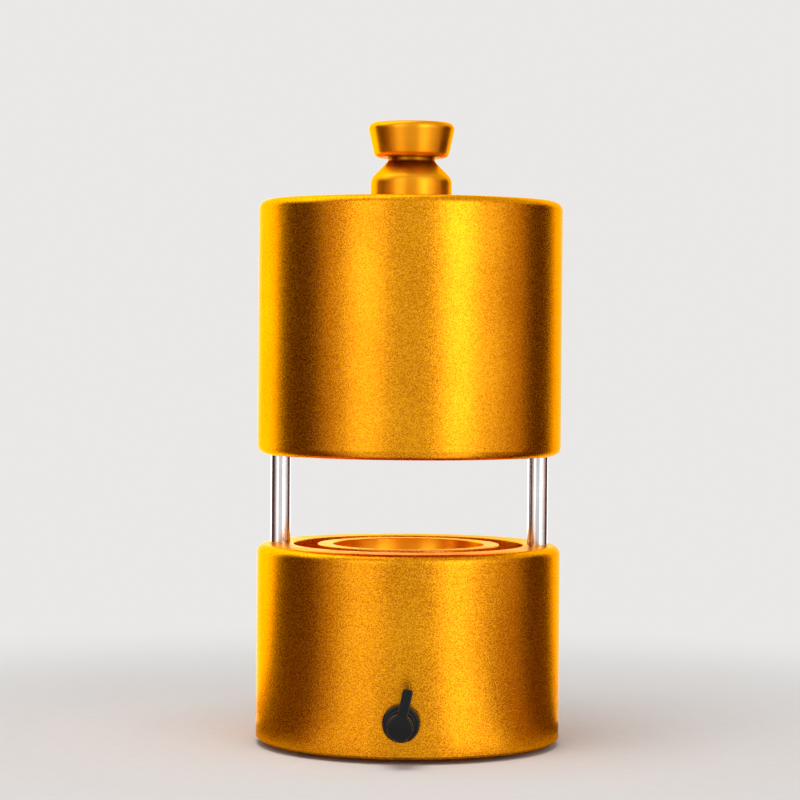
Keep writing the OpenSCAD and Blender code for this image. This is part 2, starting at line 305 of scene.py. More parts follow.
def place(obj: Object, where: Vector, turn: tuple = (0, 0, 0)) -> Object:
    """Turns and moves a piece, with its new place kept in its mesh.

    Args:
        obj: The piece.
        where: Where its own origin goes.
        turn: Euler angles in radians.

    Returns:
        The same piece.
    """
    obj.rotation_euler = turn
    obj.location = where
    apply_place(obj)
    return obj


def copy_of(obj: Object, name: str) -> Object:
    """Copies a piece with a mesh of its own.

    Args:
        obj: The piece that is copied.
        name: Name of the copy.

    Returns:
        The copy.
    """
    activate(obj)
    bpy.ops.object.duplicate(linked=False)
    twin = bpy.context.object
    twin.name = name
    return twin


def weld(obj: Object) -> None:
    """Merges the corners of a piece that lie on each other, and removes faces without area.

    Args:
        obj: The piece.
    """
    with editing(obj):
        bpy.ops.mesh.select_all(action="SELECT")
        bpy.ops.mesh.remove_doubles(threshold=WELD)
        bpy.ops.mesh.dissolve_degenerate(threshold=WELD)


def combine(target: Object, tools: Sequence[Object], operation: Operation) -> None:
    """Cuts tools from a piece, or joins them to it, and deletes them.

    Args:
        target: The piece that stays.
        tools: The closed shapes that are used up.
        operation: Whether they are cut or joined.
    """
    for tool in tools:
        apply_modifier(target, "BOOLEAN", operation=operation.value, solver="EXACT", object=tool)
        bpy.data.objects.remove(tool, do_unlink=True)
    weld(target)


def smooth(obj: Object, angle: float = SMOOTH_ANGLE) -> None:
    """Shades a piece smooth, with flat faces kept flat.

    Args:
        obj: The piece.
        angle: Angle in degrees up to which an edge is smooth.
    """
    activate(obj)
    bpy.ops.object.shade_smooth_by_angle(angle=math.radians(angle))
    apply_modifier(obj, "WEIGHTED_NORMAL", keep_sharp=True, weight=FACE_WEIGHT)


def settle(obj: Object, body: Body, slot: Slot, *nodes: str) -> None:
    """Puts a finished piece on its body in place of the plain nodes that it stands for.

    Args:
        obj: The piece.
        body: The body that carries it.
        slot: Not used.
        nodes: The nodes that it replaces.
    """
    deselect_all()
    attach(obj, body.value)
    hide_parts(*nodes)
    LOG.info("%s: %d faces in place of %s", obj.name, len(obj.data.polygons), ", ".join(nodes))


def dress_node(name: str, material: Material) -> None:
    """Gives a plain node that stays a better material.

    Args:
        name: The node's name.
        material: Its material.
    """
    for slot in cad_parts[name].material_slots:
        slot.material = material
    LOG.info("%s: %s", name, material.name)


def dress_zone(obj: Object, material: Material, test: Callable[[BMFace], bool]) -> None:
    """Gives the faces that pass a test a material of their own.

    Args:
        obj: The piece, with its main material in its first slot.
        material: The zone's material.
        test: Says of each face whether it lies in the zone.
    """
    obj.data.materials.append(material)
    with editing(obj):
        select(obj, Element.FACE, test)
        obj.active_material_index = len(obj.data.materials) - 1
        bpy.ops.object.material_slot_assign()


# Finishes


class Tree:
    """A node tree while it is put together."""

    def __init__(self, tree: NodeTree) -> None:
        """Takes up a tree that has its first nodes."""
        self.tree = tree

    def node(self, kind: str, inputs: dict[str, Value] | None = None, **settings: object) -> Node:
        """Adds a node.

        Args:
            kind: Blender's type name of the node.
            inputs: Values or sockets for its inputs, by name.
            settings: Values of its properties.

        Returns:
            The new node.
        """
        node = self.tree.nodes.new(kind)
        for name, value in settings.items():
            setattr(node, name, value)
        for name, value in (inputs or {}).items():
            self.feed(node.inputs[name], value)
        return node

    def feed(self, socket: NodeSocket, value: Value) -> None:
        """Links a socket to another one, or sets its value.

        Args:
            socket: The input.
            value: The other socket, or the value.
        """
        if isinstance(value, NodeSocket):
            self.tree.links.new(value, socket)
        else:
            socket.default_value = value

    def fill(self, node: Node, *values: Value) -> None:
        """Feeds a node's first inputs in their order, where their names repeat."""
        for socket, value in zip(node.inputs, values):
            self.feed(socket, value)

    def mixed(self, factor: Value, first: NodeSocket, second: NodeSocket) -> NodeSocket:
        """Mixes two shaders.

        Args:
            factor: The second one's share.
            first: The shader where the factor is 0.
            second: The shader where the factor is 1.

        Returns:
            The mixed shader.
        """
        node = self.node("ShaderNodeMixShader")
        self.fill(node, factor, first, second)
        return node.outputs["Shader"]


class Shader(Tree):
    """A material while it is put together, with its patterns in the piece's own coordinates."""

    def __init__(self, name: str) -> None:
        """Starts a material with its main shader.

        Args:
            name: The material's name.
        """
        self.material = bpy.data.materials.new(name)
        self.material.use_nodes = True
        super().__init__(self.material.node_tree)
        self.surface = self.tree.nodes["Principled BSDF"]
        self.place = self.node("ShaderNodeTexCoord").outputs["Object"]

    def set(self, **inputs: Value) -> None:
        """Feeds inputs of the main shader, with underscores for the spaces in their names."""
        for name, value in inputs.items():
            self.feed(self.surface.inputs[name.replace("_", " ")], value)

    def stretched(self, scale: tuple[float, float, float]) -> NodeSocket:
        """Gives the piece's coordinates, scaled along each axis."""
        return self.node("ShaderNodeMapping", {"Vector": self.place, "Scale": scale}).outputs["Vector"]

    def noise(self, where: Value, scale: float, detail: float = 2.0) -> NodeSocket:
        """Gives a noise pattern of a number of features per metre."""
        inputs = {"Vector": where, "Scale": scale, "Detail": detail, "Roughness": NOISE_ROUGHNESS}
        return self.node("ShaderNodeTexNoise", inputs).outputs["Fac"]

    def spread(self, pattern: Value, low: float, high: float, span: Point = USUAL_SPAN) -> NodeSocket:
        """Maps a pattern from the span that it fills to the values between low and high."""
        inputs = {"Value": pattern, "From Min": span[0], "From Max": span[1], "To Min": low, "To Max": high}
        return self.node("ShaderNodeMapRange", inputs).outputs["Result"]

    def sum(self, first: Value, second: Value, share: float) -> NodeSocket:
        """Adds a share of a second pattern to a first one.

        Args:
            first: The pattern that counts in full.
            second: The pattern that is added.
            share: How much of it is added.

        Returns:
            The sum.
        """
        node = self.node("ShaderNodeMath", operation="MULTIPLY_ADD")
        self.fill(node, second, share, first)
        return node.outputs["Value"]

    def blend(self, pattern: Value, dark: Colour, light: Colour, span: Point = USUAL_SPAN) -> NodeSocket:
        """Mixes two colours by a pattern.

        Args:
            pattern: The pattern.
            dark: The colour at its low end.
            light: The colour at its high end.
            span: The span that the pattern fills.

        Returns:
            The mixed colour.
        """
        node = self.node("ShaderNodeMix", data_type="RGBA")
        self.feed(node.inputs[MIX_FACTOR], self.spread(pattern, *WHOLE_SPAN, span))
        self.feed(node.inputs[MIX_DARK], (*dark, 1.0))
        self.feed(node.inputs[MIX_LIGHT], (*light, 1.0))
        return node.outputs[MIX_RESULT]

    def shaded(self, colour: Value, share: Value) -> NodeSocket:
        """Darkens a colour to a share of its brightness."""
        node = self.node("ShaderNodeVectorMath", {"Vector": colour, "Scale": share}, operation="SCALE")
        return node.outputs["Vector"]

    def openness(self, reach: float) -> NodeSocket:
        """Gives how open the piece is round a point: 1 on open faces, less in its own crevices."""
        settings = {"samples": PAINTED_SHADE_SAMPLES, "only_local": True}
        return self.node("ShaderNodeAmbientOcclusion", {"Distance": reach}, **settings).outputs["AO"]

    def bump(self, height: Value, depth: float) -> NodeSocket:
        """Gives normals that follow a height pattern of a depth in metres."""
        inputs = {"Height": height, "Distance": depth, "Strength": 1.0}
        return self.node("ShaderNodeBump", inputs).outputs["Normal"]


@dataclass(frozen=True)
class BlastedGold:
    """Gold anodised aluminium, bead blasted to an even sparkling grain."""

    name: str = "gold_blasted_finish"
    light: Colour = (1.0, 0.445, 0.011)
    dark: Colour = (0.52, 0.135, 0.002)
    edge: Colour = (1.0, 0.62, 0.06)
    grain: float = 0.31 * MM
    pit_depth: float = 0.028 * MM
    cell_share: float = 0.5
    cloud: float = 30 * MM
    cloud_share: float = 0.6
    dye_span: Point = (0.2, 1.4)
    smoothest: float = 0.21
    roughest: float = 0.32

    def material(self) -> Material:
        """Builds the material: pitted grain, a tone for each grain and soft clouds of dye.

        Returns:
            The material.
        """
        shader = Shader(self.name)
        cells = shader.node("ShaderNodeTexVoronoi", {"Vector": shader.place, "Scale": 1 / self.grain})
        tone = shader.node("ShaderNodeSeparateColor", {"Color": cells.outputs["Color"]}).outputs["Red"]
        pits = shader.noise(shader.place, 1 / self.grain, detail=1.0)
        clouds = shader.noise(shader.place, 1 / self.cloud, detail=3.0)
        dye = shader.sum(tone, clouds, self.cloud_share)
        shader.set(
            Base_Color=shader.blend(dye, self.dark, self.light, self.dye_span),
            Metallic=1.0,
            Specular_Tint=(*self.edge, 1.0),
            Roughness=shader.spread(tone, self.smoothest, self.roughest, WHOLE_SPAN),
            Normal=shader.bump(shader.sum(pits, cells.outputs["Distance"], self.cell_share), self.pit_depth),
        )
        return shader.material


@dataclass(frozen=True)
class TurnedGold:
    """Gold anodised aluminium with the fine marks of the lathe, and painted shade in its own crevices."""

    name: str
    light: Colour = (0.96, 0.40, 0.014)
    dark: Colour = (0.86, 0.32, 0.009)
    edge: Colour = (1.0, 0.62, 0.06)
    mark: float = 0.35 * MM
    mark_depth: float = 0.004 * MM
    ring_share: float = 0.5
    ring_waver: float = 0.4
    hoop_scale: float = 8.0
    wear: float = 9 * MM
    smoothest: float = 0.20
    roughest: float = 0.32
    stretch: float = 0.55
    across: float = 0.25
    # Reach, span and darkest share of the painted shade in the piece's own crevices
    shade_reach: float = 12 * MM
    shade_span: Point = (0.3, 0.95)
    deepest_shade: float = 0.3

    def material(self) -> Material:
        """Builds the material: rings on flat faces, hoops on walls, an even satin sheen and painted shade in
        the piece's own crevices.

        Returns:
            The material.
        """
        shader = Shader(self.name)
        wave = {
            "Vector": shader.place,
            "Scale": 1 / self.mark / WAVE_PHASE,
            "Distortion": self.ring_waver,
            "Detail": 2.0,
        }
        rings = shader.node("ShaderNodeTexWave", wave, wave_type="RINGS", rings_direction="Z").outputs["Fac"]
        hoop_scales = (self.hoop_scale, self.hoop_scale, 1 / self.mark)
        hoops = shader.noise(shader.stretched(hoop_scales), 1.0, detail=3.0)
        wear = shader.noise(shader.place, 1 / self.wear, detail=4.0)
        tangent = shader.node("ShaderNodeTangent", direction_type="RADIAL", axis="Z").outputs["Tangent"]
        dye = shader.blend(hoops, self.dark, self.light)
        # Painted shade: ambient occlusion darkens the colour in the piece's own crevices, down to the deepest
        # share
        depth = shader.spread(shader.openness(self.shade_reach), self.deepest_shade, 1.0, self.shade_span)
        shader.set(
            Base_Color=shader.shaded(dye, depth),
            Metallic=1.0,
            Specular_Tint=(*self.edge, 1.0),
            Roughness=shader.spread(wear, self.smoothest, self.roughest),
            Anisotropic=self.stretch,
            Anisotropic_Rotation=self.across,
            Tangent=tangent,
            Normal=shader.bump(shader.sum(hoops, rings, self.ring_share), self.mark_depth),
        )
        return shader.material


@dataclass(frozen=True)
class DrawnSteel:
    """Bright steel with fine marks, drawn along the Z axis or even all round."""

    name: str
    light: Colour = (0.80, 0.80, 0.81)
    dark: Colour = (0.60, 0.60, 0.62)
    mark_scale: tuple[float, float, float] = (2600.0, 2600.0, 30.0)
    mark_depth: float = 0.002 * MM
    mark_share: float = 0.5
    stain: float = 14 * MM
    tone_span: Point = (0.5, 1.0)
    smoothest: float = 0.10
    roughest: float = 0.22

    def material(self) -> Material:
        """Builds the material: drawn marks and a faint change of tone.

        Returns:
            The material.
        """
        shader = Shader(self.name)
        marks = shader.noise(shader.stretched(self.mark_scale), 1.0)
        tone = shader.sum(shader.noise(shader.place, 1 / self.stain, detail=3.0), marks, self.mark_share)
        shader.set(
            Base_Color=shader.blend(tone, self.dark, self.light, self.tone_span),
            Metallic=1.0,
            Roughness=shader.spread(marks, self.smoothest, self.roughest),
            Normal=shader.bump(marks, self.mark_depth),
        )
        return shader.material


@dataclass(frozen=True)
class Moulded:
    """Moulded plastic, rubber or sintered metal with a fine even texture."""

    name: str
    light: Colour
    dark: Colour
    texture: float
    texture_depth: float
    smoothest: float
    roughest: float
    metallic: float = 0.0
    sheen: float = 0.5
    scuff: float = 3 * MM
    tone_span: Point = (0.7, 1.3)

    def material(self) -> Material:
        """Builds the material: a fine texture, slight scuffs and an uneven gloss.

        Returns:
            The material.
        """
        shader = Shader(self.name)
        skin = shader.noise(shader.place, 1 / self.texture)
        scuffs = shader.noise(shader.place, 1 / self.scuff, detail=4.0)
        shader.set(
            Base_Color=shader.blend(shader.sum(skin, scuffs, 1.0), self.dark, self.light, self.tone_span),
            Metallic=self.metallic,
            Specular_IOR_Level=self.sheen,
            Roughness=shader.spread(scuffs, self.smoothest, self.roughest),
            Normal=shader.bump(skin, self.texture_depth),
        )
        return shader.material


BLASTED_GOLD = BlastedGold()
KNOB_GOLD = TurnedGold(
    "gold_satin_finish",
    light=(0.90, 0.375, 0.013),
    dark=(0.80, 0.30, 0.008),
    smoothest=0.28,
    roughest=0.40,
    stretch=0.35,
)
FACE_GOLD = TurnedGold("gold_faced_finish", smoothest=0.26, roughest=0.38)
ROD_STEEL = DrawnSteel("rod_steel_finish")
SCREW_STEEL = DrawnSteel(
    "screw_steel_finish",
    mark_scale=(900.0, 900.0, 900.0),
    smoothest=0.26,
    roughest=0.4,
)
BRONZE = Moulded(
    "bronze_finish",
    light=(0.55, 0.33, 0.13),
    dark=(0.32, 0.18, 0.07),
    texture=0.3 * MM,
    texture_depth=0.02 * MM,
    smoothest=0.38,
    roughest=0.52,
    metallic=1.0,
)
BLACK_PLASTIC = Moulded(
    "black_plastic_finish",
    light=(0.0050, 0.0055, 0.0070),
    dark=(0.0025, 0.0028, 0.0035),
    texture=0.25 * MM,
    texture_depth=0.003 * MM,
    smoothest=0.16,
    roughest=0.26,
    sheen=0.24,
)
BLACK_RUBBER = Moulded(
    "black_rubber_finish",
    light=(0.035, 0.034, 0.033),
    dark=(0.018, 0.018, 0.018),
    texture=0.4 * MM,
    texture_depth=0.03 * MM,
    smoothest=0.68,
    roughest=0.85,
)


@dataclass
class Palette:
    """Every finish of the mold as a material, each made once."""

    blasted: Material = field(default_factory=BLASTED_GOLD.material)
    knob_gold: Material = field(default_factory=KNOB_GOLD.material)
    face_gold: Material = field(default_factory=FACE_GOLD.material)
    rod_steel: Material = field(default_factory=ROD_STEEL.material)
    screw_steel: Material = field(default_factory=SCREW_STEEL.material)
    bronze: Material = field(default_factory=BRONZE.material)
    plastic: Material = field(default_factory=BLACK_PLASTIC.material)
    rubber: Material = field(default_factory=BLACK_RUBBER.material)


# Sub-assemblies


@dataclass
class MoldHalf:
    """What both halves share: the ball's cavity, the soft edges and the places on the rods."""

    palette: Palette
    ball_r: float = 30 * MM
    edge_r: float = 3.5 * MM
    lip_r: float = 0.4 * MM
    rod_x: float = 51 * MM
    steps: int = 192

    def lip_turn(self) -> float:
        """Gives the angle in degrees from the parting face at which the cavity's wall ends."""
        return math.degrees(math.asin(self.lip_r / self.ball_r))

    def on_rods(self, name: str, outline: Sequence[Point]) -> list[Object]:
        """Makes a turned cutter on the axis of each rod."""
        places = [Vector((side.value * self.rod_x, 0, 0)) for side in Side]
        return [place(turned(name, outline, HOLE_STEPS), where) for where in places]

    def dress_block(self, block: Object, body: Body, node: str, parting: float, facing: Facing) -> None:
        """Gives a half its blasted skin, with turned faces in the cavity and at the parting.

        Args:
            block: The modelled half.
            body: The body that carries it.
            node: The node that it replaces.
            parting: Height of its parting face.
            facing: Which way that face looks.
        """
        middle = Vector((0, 0, parting))

        def faced(face: BMFace) -> bool:
            """Says whether a face lies in the cavity or on the parting face.

            Args:
                face: A face of the half.

            Returns:
                Whether it is turned and not blasted.
            """
            where = face.calc_center_median() - middle
            in_cavity = where.length < self.ball_r + self.lip_r
            looks_out = facing.value * face.normal.z > FLAT
            return in_cavity or (looks_out and facing.value * where.z > -self.lip_r)

        block.data.materials.append(self.palette.blasted)
        dress_zone(block, self.palette.face_gold, faced)
        smooth(block)
        settle(block, body, Slot.GOLD_BLASTED, node)


@dataclass
class UpperHalf(MoldHalf):
    """The heavy upper half with its half-ball cavity and two guide bores."""

    bore_r: float = 5.07 * MM
    bore_depth: float = 88 * MM
    bore_lead: float = 0.5 * MM

    def build(self) -> Object:
        """Models the block by turning it, then cuts the guide bores.

        Returns:
            The block.
        """
        low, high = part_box("upper_mold")
        radius, base, top = high.x, low.z, high.z
        flat_r = radius - self.edge_r
        outline = arc((0, base), self.ball_r, 90, self.lip_turn(), BALL_STEPS)
        outline += arc((self.ball_r + self.lip_r, base + self.lip_r), self.lip_r, 180, 270, LIP_STEPS)
        outline += arc((flat_r, base + self.edge_r), self.edge_r, -90, 0, EDGE_STEPS)
        outline += arc((flat_r, top - self.edge_r), self.edge_r, 0, 90, EDGE_STEPS)
        outline += [(0, top)]
        block = turned("upper_block", outline, self.steps)
        combine(block, self.bores(base), Operation.CUT)
        return block

    def bores(self, base: float) -> list[Object]:
        """Makes the cutters of the guide bores, each with a lead at its mouth.

        Args:
            base: Height of the parting face.

        Returns:
            The cutters.
        """
        outline = [
            (0, base - self.bore_lead),
            (self.bore_r + 2 * self.bore_lead, base - self.bore_lead),
            (self.bore_r, base + self.bore_lead),
            (self.bore_r, base + self.bore_depth),
            (0, base + self.bore_depth),
        ]
        return self.on_rods("bore_cutter", outline)

    def dress(self, block: Object) -> None:
        """Finishes the block, whose parting face is its lowest."""
        self.dress_block(block, Body.UPPER, "upper_mold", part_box("upper_mold")[0].z, Facing.DOWN)


@dataclass
class LowerHalf(MoldHalf):
    """The heavy lower half with its cavity, gutter, drains, tank and sockets."""

    chamfer: float = 1 * MM
    land_r: float = 36 * MM
    rim_r: float = 45.5 * MM
    gutter_depth: float = 7 * MM
    gutter_r: float = 2 * MM
    drain_ring_r: float = 40.75 * MM
    drain_r: float = 2.5 * MM
    drain_count: int = 4
    plate_r: float = 55.5 * MM
    plate_t: float = 8 * MM
    tank_r: float = 43.5 * MM
    tank_h: float = 13 * MM
    socket_r: float = 4.02 * MM
    socket_foot: float = 21.7 * MM
    port_r: float = 4.9 * MM
    spot_r: float = 7.625 * MM

    def build(self) -> Object:
        """Models the block by turning it, then cuts the drains, sockets and tap port.

        Returns:
            The block.
        """
        low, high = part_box("lower_mold")
        radius, base, top = high.x, low.z, high.z
        floor = top - self.gutter_depth
        lip, corner = self.lip_r, self.gutter_r
        plate_top = base + self.plate_t
        tank_top = plate_top + self.tank_h
        outline = arc((0, top), self.ball_r, -90, -self.lip_turn(), BALL_STEPS)
        outline += arc((self.ball_r + lip, top - lip), lip, 180, 90, LIP_STEPS)
        outline += arc((self.land_r - lip, top - lip), lip, 90, 0, LIP_STEPS)
        outline += arc((self.land_r + corner, floor + corner), corner, 180, 270, CORNER_STEPS)
        outline += arc((self.rim_r - corner, floor + corner), corner, 270, 360, CORNER_STEPS)
        outline += arc((self.rim_r + lip, top - lip), lip, 180, 90, LIP_STEPS)
        outline += arc((radius - self.edge_r, top - self.edge_r), self.edge_r, 90, 0, EDGE_STEPS)
        outline += [
            (radius, base + self.chamfer),
            (radius - self.chamfer, base),
            (self.plate_r, base),
            (self.plate_r, plate_top),
            (self.tank_r, plate_top),
            (self.tank_r, tank_top),
            (0, tank_top),
        ]
        block = turned("lower_block", outline, self.steps)
        combine(block, [*self.drains(floor, tank_top), *self.sockets(top), self.tap_port()], Operation.CUT)
        return block

    def drains(self, floor: float, tank_top: float) -> list[Object]:
        """Makes the cutters of the drain holes, with softened mouths, half a step off the rods.

        Args:
            floor: Height of the gutter's floor.
            tank_top: Height of the tank's ceiling.

        Returns:
            The cutters.
        """
        outline = [
            (0, tank_top - OVERCUT),
            (self.drain_r, tank_top - OVERCUT),
            (self.drain_r, floor - self.lip_r),
            (self.drain_r + 2 * self.lip_r, floor + self.lip_r),
            (0, floor + self.lip_r),
        ]
        first = place(turned("drain_cutter", outline, SMALL_HOLE_STEPS), Vector((self.drain_ring_r, 0, 0)))
        copies = [copy_of(first, f"drain_cutter_{number}") for number in range(1, self.drain_count)]
        cutters = [first, *copies]
        half_step = math.pi / self.drain_count
        for number, cutter in enumerate(cutters):
            place(cutter, Vector(), (0, 0, (2 * number + 1) * half_step))
        return cutters

    def sockets(self, top: float) -> list[Object]:
        """Makes the cutters of the rod sockets, each with a fine chamfer at its mouth.

        Args:
            top: Height of the parting face.

        Returns:
            The cutters.
        """
        outline = [
            (0, self.socket_foot),
            (self.socket_r, self.socket_foot),
            (self.socket_r, top - self.lip_r),
            (self.socket_r + 2 * self.lip_r, top + self.lip_r),
            (0, top + self.lip_r),
        ]
        return self.on_rods("socket_cutter", outline)

    def tap_port(self) -> Object:
        """Makes the cutter of the tap's hole and of the flat round it.

        Returns:
            The cutter.
        """
        inner = self.tank_r + TAP_SEAT.y - OVERCUT
        outer = 2 * OVERCUT
        outline = [
            (0, inner),
            (self.port_r, inner),
            (self.port_r, 0),
            (self.spot_r, 0),
            (self.spot_r, outer),
            (0, outer),
        ]
        return place(turned("port_cutter", outline, HOLE_STEPS), TAP_SEAT, (math.pi / 2, 0, 0))

    def dress(self, block: Object) -> None:
        """Finishes the block, whose parting face is its highest."""
        self.dress_block(block, Body.LOWER, "lower_mold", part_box("lower_mold")[1].z, Facing.UP)


@dataclass
class Knob:
    """The turned knob on the upper half: a base, a conical waist, a neck and a head."""

    palette: Palette
    base_r: float = 16 * MM
    base_h: float = 9 * MM
    shoulder_r: float = 5 * MM
    neck_r: float = 9.25 * MM
    neck_l: float = 1.5 * MM
    hollow_r: float = 1.5 * MM
    head_z: float = 17.25 * MM
    head_low_r: float = 14.5 * MM
    lip_r: float = 2.4 * MM
    head_top_r: float = 17.5 * MM
    edge_r: float = 2.4 * MM
    edge_steps: int = 12
    foot_chamfer: float = 0.4 * MM
    steps: int = 128

    def build(self) -> Object:
        """Models the knob by turning it, with every edge softened.

        Returns:
            The knob.
        """
        low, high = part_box("knob")
        foot, height = low.z, high.z - low.z
        neck_z = self.head_z - self.neck_l
        waist_lean = math.atan2(self.base_r - self.neck_r, neck_z - self.base_h)
        waist_bend = math.tan(waist_lean / 2)
        shoulder = (self.base_r - self.shoulder_r, self.base_h - self.shoulder_r * waist_bend)
        hollow = (self.neck_r + self.hollow_r, neck_z + self.hollow_r * waist_bend)
        head_lean = math.atan2(self.head_top_r - self.head_low_r, height - self.head_z)
        lip_bend = (1 - math.sin(head_lean)) / math.cos(head_lean)
        lip = (self.head_low_r - self.lip_r * lip_bend, self.head_z + self.lip_r)
        edge = (self.head_top_r - self.edge_r / lip_bend, height - self.edge_r)
        waist, lean = math.degrees(waist_lean), math.degrees(head_lean)
        outline = [(0, 0), (self.base_r - self.foot_chamfer, 0), (self.base_r, self.foot_chamfer)]
        outline += arc(shoulder, self.shoulder_r, 0, waist, ROUND_STEPS)
        outline += arc(hollow, self.hollow_r, 180 + waist, 180, CORNER_STEPS)
        outline += [(self.neck_r, self.head_z)]
        outline += arc(lip, self.lip_r, -90, -lean, ROUND_STEPS)
        outline += arc(edge, self.edge_r, -lean, 90, self.edge_steps)
        outline += [(0, height)]
        return place(turned("turned_knob", outline, self.steps), Vector((0, 0, foot)))

    def dress(self, knob: Object) -> None:
        """Gives the knob its satin finish and the stud its plain steel.

        Args:
            knob: The modelled knob.
        """
        knob.data.materials.append(self.palette.knob_gold)
        smooth(knob)
        settle(knob, Body.UPPER, Slot.GOLD_SATIN, "knob")
        dress_node("knob_stud", self.palette.screw_steel)


@dataclass
class Guides:
    """The guide rods with their screws, bushes and wiper rings."""

    palette: Palette

    def dress(self) -> None:
        """Dresses the nodes, whose shapes stay as they are."""
        for side in Side:
            name = side.name.lower()
            dress_node(f"guide_rod_{name}", self.palette.rod_steel)
            dress_node(f"guide_bush_{name}", self.palette.bronze)
            dress_node(f"rod_wiper_{name}", self.palette.rubber)
        dress_node("rod_screws", self.palette.screw_steel)


@dataclass
class Tap:
    """The small tap: a body with flange, barrel and spout, and a handle with hub and lever."""

    palette: Palette
    bore_r: float = 3.25 * MM
    shank_r: float = 4.8 * MM
    shank_end: float = -14 * MM
    flange_w: float = 1 * MM
    flange_r: float = 7.125 * MM
    flange_t: float = 3 * MM
    flange_round: float = 1 * MM
    barrel_r: float = 4.8 * MM
    barrel_end: float = 11 * MM
    fillet: float = 0.6 * MM
    fillet_steps: int = 5
    lip: float = 0.3 * MM
    spout_w: float = 7.5 * MM
    spout_r: float = 2.7 * MM
    spout_reach: float = 5.9 * MM
    water_r: float = 1.6 * MM
    plug_r: float = 3.2 * MM
    plug_end: float = -15.8 * MM
    hub_w: float = 11.2 * MM
    hub_r: float = 5 * MM
    hub_t: float = 3.6 * MM
    hub_round: float = 0.8 * MM
    hub_turn: float = 84.0
    hub_crown: float = 0.25 * MM
    lever_w: float = 3.9 * MM
    lever_t: float = 2.8 * MM
    lever_l: float = 14.6 * MM
    lever_edge: float = 0.5 * MM
    lever_end_r: float = 0.8 * MM
    lever_tilt: float = 12.0
    smooth_angle: float = 40.0
    steps: int = 72

    def build_body(self) -> Object:
        """Models the body: a turned flange and barrel with a bored spout underneath.

        Returns:
            The body, in its place.
        """
        front = self.flange_w + self.flange_t
        flange_edge = (self.flange_r - self.flange_round, front - self.flange_round)
        barrel_foot = (self.barrel_r + self.fillet, front + self.fillet)
        outline = [
            (self.bore_r, self.shank_end),
            (self.shank_r, self.shank_end),
            (self.shank_r, self.flange_w),
            (self.flange_r, self.flange_w),
        ]
        outline += arc(flange_edge, self.flange_round, 0, 90, CORNER_STEPS)
        outline += arc(barrel_foot, self.fillet, 270, 180, self.fillet_steps)
        outline += [
            (self.barrel_r, self.barrel_end - self.lip),
            (self.barrel_r - self.lip, self.barrel_end),
            (self.bore_r, self.barrel_end),
            (self.bore_r, self.shank_end),
        ]
        body = turned("tap_body_moulding", outline, self.steps)
        combine(body, [self.spout()], Operation.JOIN)
        combine(body, [self.water_way()], Operation.CUT)
        return place(body, TAP_SEAT, (math.pi / 2, 0, 0))

    def down_from_axis(self, outline: Sequence[Point], name: str) -> Object:
        """Turns a shape that points down from the tap's axis at the spout's place."""
        shape = turned(name, outline, SMALL_HOLE_STEPS)
        return place(shape, Vector((0, 0, self.spout_w)), (math.pi / 2, 0, 0))

    def spout(self) -> Object:
        """Models the spout, from inside the barrel's wall to its rounded lip.

        Returns:
            The spout.
        """
        inside = (self.bore_r + self.barrel_r) / 2 - self.lip
        lip = (self.spout_r - self.lip, self.spout_reach - self.lip)
        outline = [(0, inside), (self.spout_r, inside)]
        outline += arc(lip, self.lip, 0, 90, LIP_STEPS)
        outline += [(0, self.spout_reach)]
        return self.down_from_axis(outline, "spout")

    def water_way(self) -> Object:
        """Makes the cutter of the spout's bore, with a softened mouth.

        Returns:
            The cutter.
        """
        outline = [
            (0, 0),
            (self.water_r, 0),
            (self.water_r, self.spout_reach - self.lip),
            (self.water_r + 2 * self.lip, self.spout_reach + self.lip),
            (0, self.spout_reach + self.lip),
        ]
        return self.down_from_axis(outline, "water_cutter")

    def build_handle(self) -> Object:
        """Models the handle: plug and crowned hub in one turning, with a bevelled lever.

        Returns:
            The handle, in its place and leaning as at rest.
        """
        edge_w = self.hub_w + self.hub_t - self.hub_crown
        crown_r = self.hub_r - self.hub_round
        outline = [
            (0, self.plug_end),
            (self.plug_r, self.plug_end),
            (self.plug_r, self.hub_w),
            (self.hub_r - self.lip, self.hub_w),
            (self.hub_r, self.hub_w + self.lip),
        ]
        outline += arc((crown_r, edge_w - self.hub_round), self.hub_round, 0, self.hub_turn, CORNER_STEPS)
        for step in range(1, CORNER_STEPS + 1):
            share = step / CORNER_STEPS
            outline.append((crown_r * (1 - share), edge_w + self.hub_crown * (1 - (1 - share) ** 2)))
        handle = turned("tap_handle_moulding", outline, self.steps)
        combine(handle, [self.lever(edge_w)], Operation.JOIN)
        with editing(handle):
            select(handle, Element.EDGE, self.at_lever_root)
            bpy.ops.mesh.bevel(offset=self.lip, segments=BEVEL_STEPS, affect="EDGES")
        weld(handle)
        turn = rotation(90, "X") @ rotation(-self.lever_tilt, "Z")
        return place(handle, TAP_SEAT, tuple(turn.to_euler()))

    def lever(self, front: float) -> Object:
        """Models the lever: a bar with bevelled edges and a rounded end.

        Args:
            front: How far out along the tap's axis its front lies.

        Returns:
            The lever.
        """
        deselect_all()
        bpy.ops.mesh.primitive_cube_add(size=1, location=(0, self.lever_l / 2, front - self.lever_t / 2))
        lever = bpy.context.object
        lever.name = "lever"
        lever.scale = (self.lever_w, self.lever_l, self.lever_t)
        apply_place(lever)
        with editing(lever):
            select(lever, Element.EDGE, lambda edge: edge_span(edge)[0] > self.lever_l - NEAR)
            bpy.ops.mesh.bevel(offset=self.lever_end_r, segments=LIP_STEPS, affect="EDGES")
            select(lever, Element.EDGE, self.at_lever_corner)
            bpy.ops.mesh.bevel(offset=self.lever_edge, segments=BEVEL_STEPS, affect="EDGES")
        return lever

    def at_lever_corner(self, edge: BMEdge) -> bool:
        """Says whether an edge is a sharp corner of the lever that reaches away from its root."""
        return edge.calc_face_angle(0.0) > SHARP and edge_span(edge)[1] > NEAR

